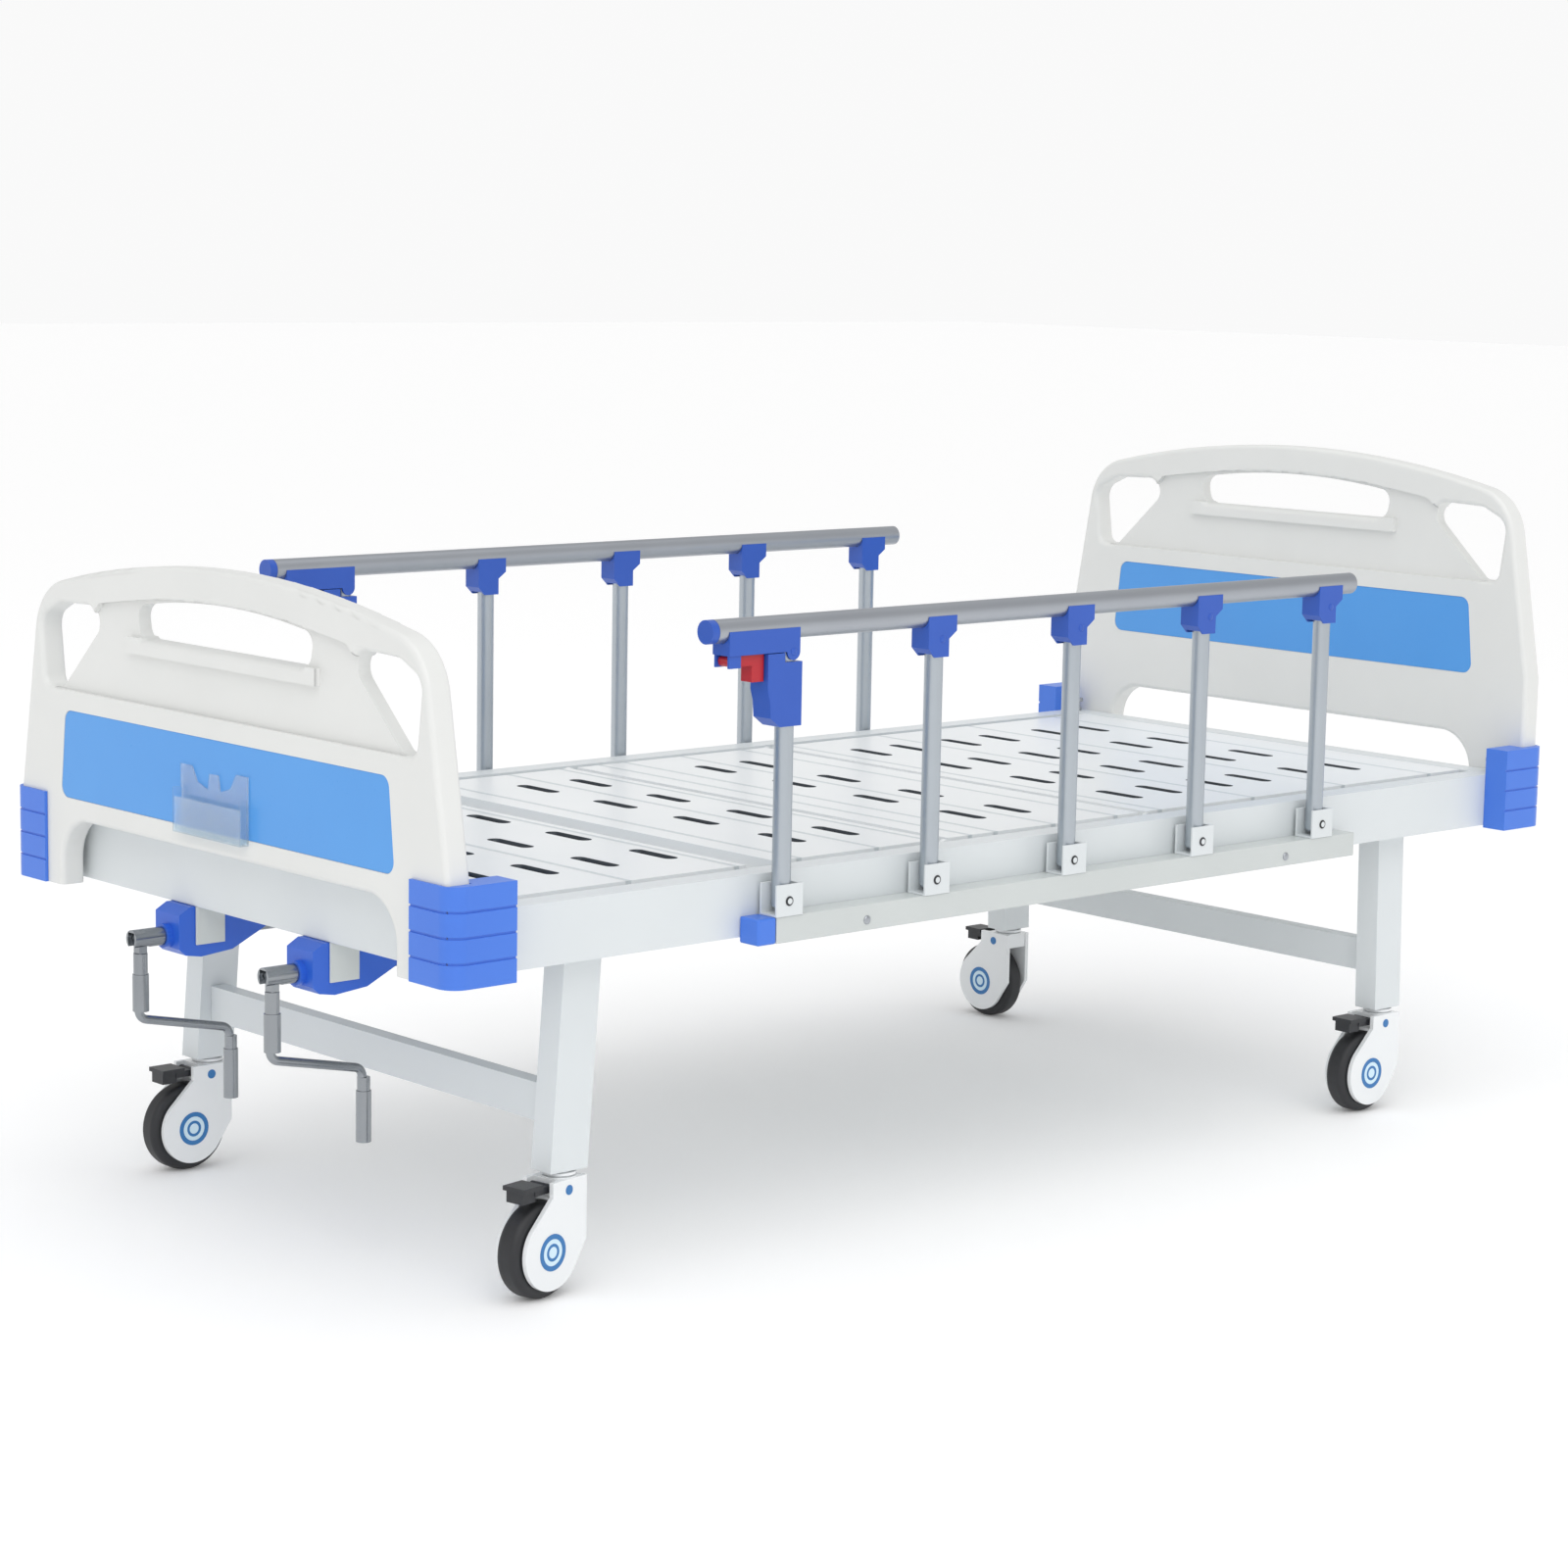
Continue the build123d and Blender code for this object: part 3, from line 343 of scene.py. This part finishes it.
def bolt_tree():
    """Geometry nodes: a domed bolt head, turned along Y, on each vertex of the mesh."""
    tree = bpy.data.node_groups.new("bolt_heads", "GeometryNodeTree")
    face = tree.interface
    face.new_socket("Geometry", in_out="INPUT", socket_type="NodeSocketGeometry")
    for name, value in (("Head radius", 0.006), ("Head height", 0.004)):
        face.new_socket(name, in_out="INPUT", socket_type="NodeSocketFloat").default_value = value
    face.new_socket("Finish", in_out="INPUT", socket_type="NodeSocketMaterial")
    face.new_socket("Geometry", in_out="OUTPUT", socket_type="NodeSocketGeometry")
    inputs = add_node(tree, "NodeGroupInput").outputs
    spots = add_node(tree, "GeometryNodeMeshToPoints", {"Mesh": inputs["Geometry"]})
    head = add_node(tree, "GeometryNodeMeshUVSphere", {"Radius": inputs["Head radius"]},
                    Segments=20, Rings=10)
    squash = add_node(tree, "ShaderNodeMath", {0: inputs["Head height"], 1: inputs["Head radius"]},
                      operation="DIVIDE")
    size = add_node(tree, "ShaderNodeCombineXYZ", {"Z": squash.outputs[0]}, X=1.0, Y=1.0)
    domed = add_node(tree, "GeometryNodeTransform",
                     {"Geometry": head.outputs["Mesh"], "Scale": size.outputs[0]}, Rotation=(pi / 2, 0, 0))
    placed = add_node(tree, "GeometryNodeInstanceOnPoints", {"Points": spots.outputs["Points"],
                                                            "Instance": domed.outputs["Geometry"]})
    real = add_node(tree, "GeometryNodeRealizeInstances", {"Geometry": placed.outputs["Instances"]})
    finished = add_node(tree, "GeometryNodeSetMaterial", {"Geometry": real.outputs["Geometry"],
                                                         "Material": inputs["Finish"]})
    smooth = add_node(tree, "GeometryNodeSetShadeSmooth", {"Geometry": finished.outputs["Geometry"]})
    output = add_node(tree, "NodeGroupOutput")
    tree.links.new(smooth.outputs["Geometry"], output.inputs["Geometry"])
    return tree


BOLTS = bolt_tree()


def bolt_heads(name, points_mm, radius_mm, height_mm, finish, body):
    """Bolt heads at the given places, as one plain mesh riding on a body."""
    mesh = bpy.data.meshes.new(name)
    mesh.from_pydata([Vector(p) * MM for p in points_mm], [], [])
    piece = link(name, mesh)
    made = piece.modifiers.new("bolts", "NODES")
    made.node_group = BOLTS
    keys = {item.name: item.identifier for item in BOLTS.interface.items_tree if item.in_out == "INPUT"}
    made[keys["Head radius"]] = radius_mm * MM
    made[keys["Head height"]] = height_mm * MM
    made[keys["Finish"]] = finish
    bake_modifiers(piece)
    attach(piece, body)
    return piece


def centre_x_mm(node):
    """The middle of a node along the bed, in millimetres."""
    low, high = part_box(node)
    return (low.x + high.x) / 2 / MM


POSTS = [centre_x_mm(f"rail_post_near_{i}") for i in range(1, 6)]
RAIL_Y = 491.0
CLEVIS_FACE, BRACKET_FACE = RAIL_Y + 17.0, RAIL_Y + 16.5
BAR_FACE, BAR_SCREW_Z, BAR_SCREW_X = 505.2, 447, (-375, 470)
PIVOT_LOW_Z, PIVOT_HIGH_Z = 488, 812
pivots = [(x, side * CLEVIS_FACE, PIVOT_LOW_Z) for x in POSTS for side in (-1, 1)]
bolt_heads("clevis_bolts", pivots, 6.5, 1.5, PAINT["pedal_black"], "frame")
screws = [(x, side * BAR_FACE, BAR_SCREW_Z) for x in BAR_SCREW_X for side in (-1, 1)]
bolt_heads("bar_screws", screws, 6.0, 3.0, PAINT["steel_hardware"], "frame")
for side, sign in (("near", -1), ("far", 1)):
    heads = [(x, sign * BRACKET_FACE, PIVOT_HIGH_Z) for x in POSTS]
    bolt_heads(f"bracket_rivets_{side}", heads, 5.0, 1.6, PAINT["bracket_blue"],
               f"rail_{side}_tube")


def collar_tree():
    """Geometry nodes: the turned-down lip of a pressed slot, on each vertex of the mesh."""
    tree = bpy.data.node_groups.new("slot_collars", "GeometryNodeTree")
    face = tree.interface
    face.new_socket("Geometry", in_out="INPUT", socket_type="NodeSocketGeometry")
    sizes = (("Slot length", 0.09), ("Slot width", 0.022), ("Lip depth", 0.011), ("Lip wall", 0.001))
    for name, value in sizes:
        face.new_socket(name, in_out="INPUT", socket_type="NodeSocketFloat").default_value = value
    face.new_socket("Finish", in_out="INPUT", socket_type="NodeSocketMaterial")
    face.new_socket("Geometry", in_out="OUTPUT", socket_type="NodeSocketGeometry")
    inputs = add_node(tree, "NodeGroupInput").outputs
    spots = add_node(tree, "GeometryNodeMeshToPoints", {"Mesh": inputs["Geometry"]})
    slot = add_node(tree, "GeometryNodeCurvePrimitiveQuadrilateral", {"Width": inputs["Slot width"],
                                                                     "Height": inputs["Slot length"]})
    half = add_node(tree, "ShaderNodeMath", {0: inputs["Slot width"]}, operation="MULTIPLY")
    half.inputs[1].default_value = 0.4999
    stadium = add_node(tree, "GeometryNodeFilletCurve",
                       {"Curve": slot.outputs["Curve"], "Radius": half.outputs[0]}, mode="POLY", Count=8)
    wall = add_node(tree, "GeometryNodeCurvePrimitiveQuadrilateral", {"Width": inputs["Lip wall"],
                                                                     "Height": inputs["Lip depth"]})
    lip = add_node(tree, "GeometryNodeCurveToMesh", {"Curve": stadium.outputs["Curve"],
                                                    "Profile Curve": wall.outputs["Curve"]})
    placed = add_node(tree, "GeometryNodeInstanceOnPoints", {"Points": spots.outputs["Points"],
                                                            "Instance": lip.outputs["Mesh"]})
    real = add_node(tree, "GeometryNodeRealizeInstances", {"Geometry": placed.outputs["Instances"]})
    finished = add_node(tree, "GeometryNodeSetMaterial", {"Geometry": real.outputs["Geometry"],
                                                         "Material": inputs["Finish"]})
    output = add_node(tree, "NodeGroupOutput")
    tree.links.new(finished.outputs["Geometry"], output.inputs["Geometry"])
    return tree


COLLARS = collar_tree()
SLOT_ROWS = (-271, -90, 90, 271)
SLOT_STATIONS = {
    "calf_section": (-838, -748, -648, -548),
    "thigh_section": (-318, -218),
    "seat_deck": (30, 122),
    "back_deck": (360, 447, 562, 652, 777, 867),
}
# the lip's middle line lies just inside the slot that the deck sheet has
LIP_LENGTH, LIP_WIDTH, LIP_DEPTH, LIP_WALL = 88.8, 20.8, 11.0, 1.0
LIP_BELOW_DECK = 0.3
for node, stations in SLOT_STATIONS.items():
    lip_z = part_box("seat_deck")[1].z - (LIP_BELOW_DECK + LIP_DEPTH / 2) * MM
    mesh = bpy.data.meshes.new(node + "_lips")
    mesh.from_pydata([(x * MM, y * MM, lip_z) for x in stations for y in SLOT_ROWS], [], [])
    piece = link(node + "_slot_lips", mesh)
    made = piece.modifiers.new("lips", "NODES")
    made.node_group = COLLARS
    keys = {item.name: item.identifier for item in COLLARS.interface.items_tree if item.in_out == "INPUT"}
    made[keys["Slot length"]] = LIP_LENGTH * MM
    made[keys["Slot width"]] = LIP_WIDTH * MM
    made[keys["Lip depth"]] = LIP_DEPTH * MM
    made[keys["Lip wall"]] = LIP_WALL * MM
    # the lips carry the dark painted shade of the slots
    made[keys["Finish"]] = PAINT["slot_lip"]
    bake_modifiers(piece)
    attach(piece, body_of_node(node))


# ------------------------------------------------------------------ casters

def disc_profile(name, outline_mm, steps=48):
    """A turned piece: (radius, height) pairs swept round the Z axis and closed."""
    ring = bmesh.new()
    rows = []
    for radius, height in outline_mm:
        if radius == 0:
            rows.append([ring.verts.new((0, 0, height * MM))])
            continue
        turns = [2 * pi * k / steps for k in range(steps)]
        places = [(radius * MM * cos(turn), radius * MM * sin(turn), height * MM) for turn in turns]
        rows.append([ring.verts.new(place) for place in places])
    for low, high in zip(rows, rows[1:]):
        for k in range(steps):
            a, b = low[k % len(low)], low[(k + 1) % len(low)]
            c, d = high[(k + 1) % len(high)], high[k % len(high)]
            corners = [v for i, v in enumerate((a, b, c, d)) if v not in (a, b, c, d)[:i]]
            ring.faces.new(corners)
    bmesh.ops.remove_doubles(ring, verts=ring.verts, dist=0.000001)
    bmesh.ops.recalc_face_normals(ring, faces=ring.faces)
    mesh = bpy.data.meshes.new(name)
    ring.to_mesh(mesh)
    ring.free()
    mesh.shade_smooth()
    mesh.set_sharp_from_angle(angle=radians(35))
    return mesh


def place_mesh(name, mesh, matrix, material, body):
    """Place a mesh with its position in its vertices and attach it."""
    mesh = mesh.copy()
    mesh.transform(matrix)
    piece = link(name, mesh)
    paint(piece, material)
    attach(piece, body)
    return piece


# how far the covers stand out from the wheel's middle, and where their small dots are
COVER_FACE = 26.0
DOT_Z, DOT_SHARE = 138.0, 0.25
DECAL_RING = disc_profile("decal_ring", [(17.5, 0), (24.0, 0), (24.0, 0.5), (17.5, 0.5), (17.5, 0)])
DECAL_PALE = disc_profile("decal_pale", [(0, 0), (17.3, 0), (17.3, 0.3), (0, 0.3)])
DECAL_INNER = disc_profile("decal_inner", [(7.5, 0), (11.5, 0), (11.5, 0.5), (7.5, 0.5), (7.5, 0)])
DECALS = (("ring", DECAL_RING, "decal_blue"), ("field", DECAL_PALE, "decal_pale"),
          ("inner", DECAL_INNER, "decal_blue"))
DECAL_DOT = disc_profile("decal_dot", [(0, 0), (6.5, 0), (6.5, 0.5), (0, 0.8)])
for joint in frame["joints"]:
    if not joint["name"].endswith("_roll"):
        continue
    place = joint["name"][:-5]
    axle = Vector(joint["pos_m"])
    axis = Vector(joint["axis"])
    swivel = next(j for j in frame["joints"] if j["name"] == f"{place}_swivel")
    stem = Vector(swivel["pos_m"])
    for face, sign in (("a", 1), ("b", -1)):
        out = axis * sign
        turn = out.to_track_quat("Z", "Y").to_matrix().to_4x4()
        skin = axle + out * COVER_FACE * MM
        for label, mesh, paint_name in DECALS:
            place_mesh(f"caster_{place}_{label}_{face}", mesh, Matrix.Translation(skin) @ turn,
                       PAINT[paint_name], f"{place}_swivel")
        dot = stem + (axle - stem) * DOT_SHARE + out * COVER_FACE * MM
        dot.z = DOT_Z * MM
        place_mesh(f"caster_{place}_dot_{face}", DECAL_DOT, Matrix.Translation(dot) @ turn,
                   PAINT["decal_blue"], f"{place}_swivel")


# ----------------------------------------------------------- rail end plugs

# a flat plug just inside the head end of each rail tube
TUBE_LOW, TUBE_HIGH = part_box("rail_tube_near")
TUBE_WALL_AND_GAP, PLUG_INSET = 2.2, 3.0
PLUG_RADIUS = (TUBE_HIGH.z - TUBE_LOW.z) / 2 / MM - TUBE_WALL_AND_GAP
PLUG = disc_profile("rail_plug", [(0, 0), (PLUG_RADIUS, 0), (PLUG_RADIUS, 2.0), (0, 2.2)])
for side in ("near", "far"):
    low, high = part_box(f"rail_tube_{side}")
    end = Vector((high.x - PLUG_INSET * MM, (low.y + high.y) / 2, (low.z + high.z) / 2))
    place_mesh(f"rail_plug_{side}", PLUG, Matrix.Translation(end) @ Matrix.Rotation(pi / 2, 4, "Y"),
               PAINT["grey_powder_coat"], f"rail_{side}_tube")


# ------------------------------------------------------- stage, light, camera

def plain_material(name, hex_code, roughness):
    """The stage's own even paint."""
    material, tree, shader = new_material(name)
    finish_surface(tree, shader, hex_code, hex_code, roughness, 40.0, 0.01, spread=0.02)
    # a faint glow of its own, as a back-lit studio sweep has
    shader.inputs["Emission Color"].default_value = colour(hex_code)
    shader.inputs["Emission Strength"].default_value = 0.07
    return material


FAR = 40.0
floor_mesh = bpy.data.meshes.new("studio_floor")
floor_mesh.from_pydata([(-FAR, -FAR, 0), (FAR, -FAR, 0), (FAR, FAR, 0), (-FAR, FAR, 0)], [], [(0, 1, 2, 3)])
floor = link("studio_floor", floor_mesh)
paint(floor, plain_material("studio_white", "#FFFFFF", 0.85))


def soft_light(name, place, size, power, target=(0, 0, 0.4)):
    """A large square softbox aimed at the bed."""
    lamp = bpy.data.lights.new(name, "AREA")
    lamp.shape = "SQUARE"
    lamp.size = size
    lamp.energy = power
    holder = bpy.data.objects.new(name, lamp)
    holder.location = place
    holder.rotation_euler = (Vector(target) - Vector(place)).to_track_quat("-Z", "Y").to_euler()
    bpy.context.scene.collection.objects.link(holder)


soft_light("key_softbox", (-3.5, -4.5, 4.5), 3.5, 34)
soft_light("top_softbox", (0.5, 0.5, 5.5), 5.0, 24)
# a very broad overhead bank, which reaches the whole floor evenly
bank = bpy.data.lights.new("overhead_bank", "SUN")
bank.energy = 1.0
bank.angle = radians(70)
bank_holder = bpy.data.objects.new("overhead_bank", bank)
bank_holder.rotation_euler = Vector((0.35, 0.5, -1.0)).to_track_quat("-Z", "Y").to_euler()
bpy.context.scene.collection.objects.link(bank_holder)
world = bpy.data.worlds.new("studio")
bpy.context.scene.world = world
world.use_nodes = True
sky = world.node_tree
direction = add_node(sky, "ShaderNodeTexCoord").outputs["Generated"]
height = add_node(sky, "ShaderNodeSeparateXYZ", {"Vector": direction}).outputs["Z"]
# bright at the horizon like a lit studio wall, dimmer overhead
glow = add_node(sky, "ShaderNodeMapRange", {"Value": height}, interpolation_type="SMOOTHSTEP",
                **{"From_Min": 0.12, "From_Max": 0.45, "To_Min": 0.95, "To_Max": 0.62})
background = sky.nodes["Background"]
background.inputs["Color"].default_value = colour("#FFFFFF")
sky.links.new(glow.outputs["Result"], background.inputs["Strength"])

AZIMUTH, DIP, ROLL = radians(-42.03), radians(8.544), radians(1.055)
back = Vector((sin(AZIMUTH) * cos(DIP), -cos(AZIMUTH) * cos(DIP), sin(DIP)))
across = (-back).cross(Vector((0, 0, 1))).normalized()
upward = across.cross(-back)
right = across * cos(ROLL) + upward * sin(ROLL)
up = upward * cos(ROLL) - across * sin(ROLL)
STAND = Vector((-3.613, -3.929, 1.334))
camera = bpy.data.objects.new("camera", bpy.data.cameras.new("camera"))
camera.data.lens = 83.4
camera.data.sensor_width = 36.0
camera.data.clip_end = 200
camera.matrix_world = Matrix((
    (right.x, up.x, back.x, STAND.x),
    (right.y, up.y, back.y, STAND.y),
    (right.z, up.z, back.z, STAND.z),
    (0, 0, 0, 1),
))
bpy.context.scene.collection.objects.link(camera)
bpy.context.scene.camera = camera
bpy.context.scene.view_settings.view_transform = "Standard"
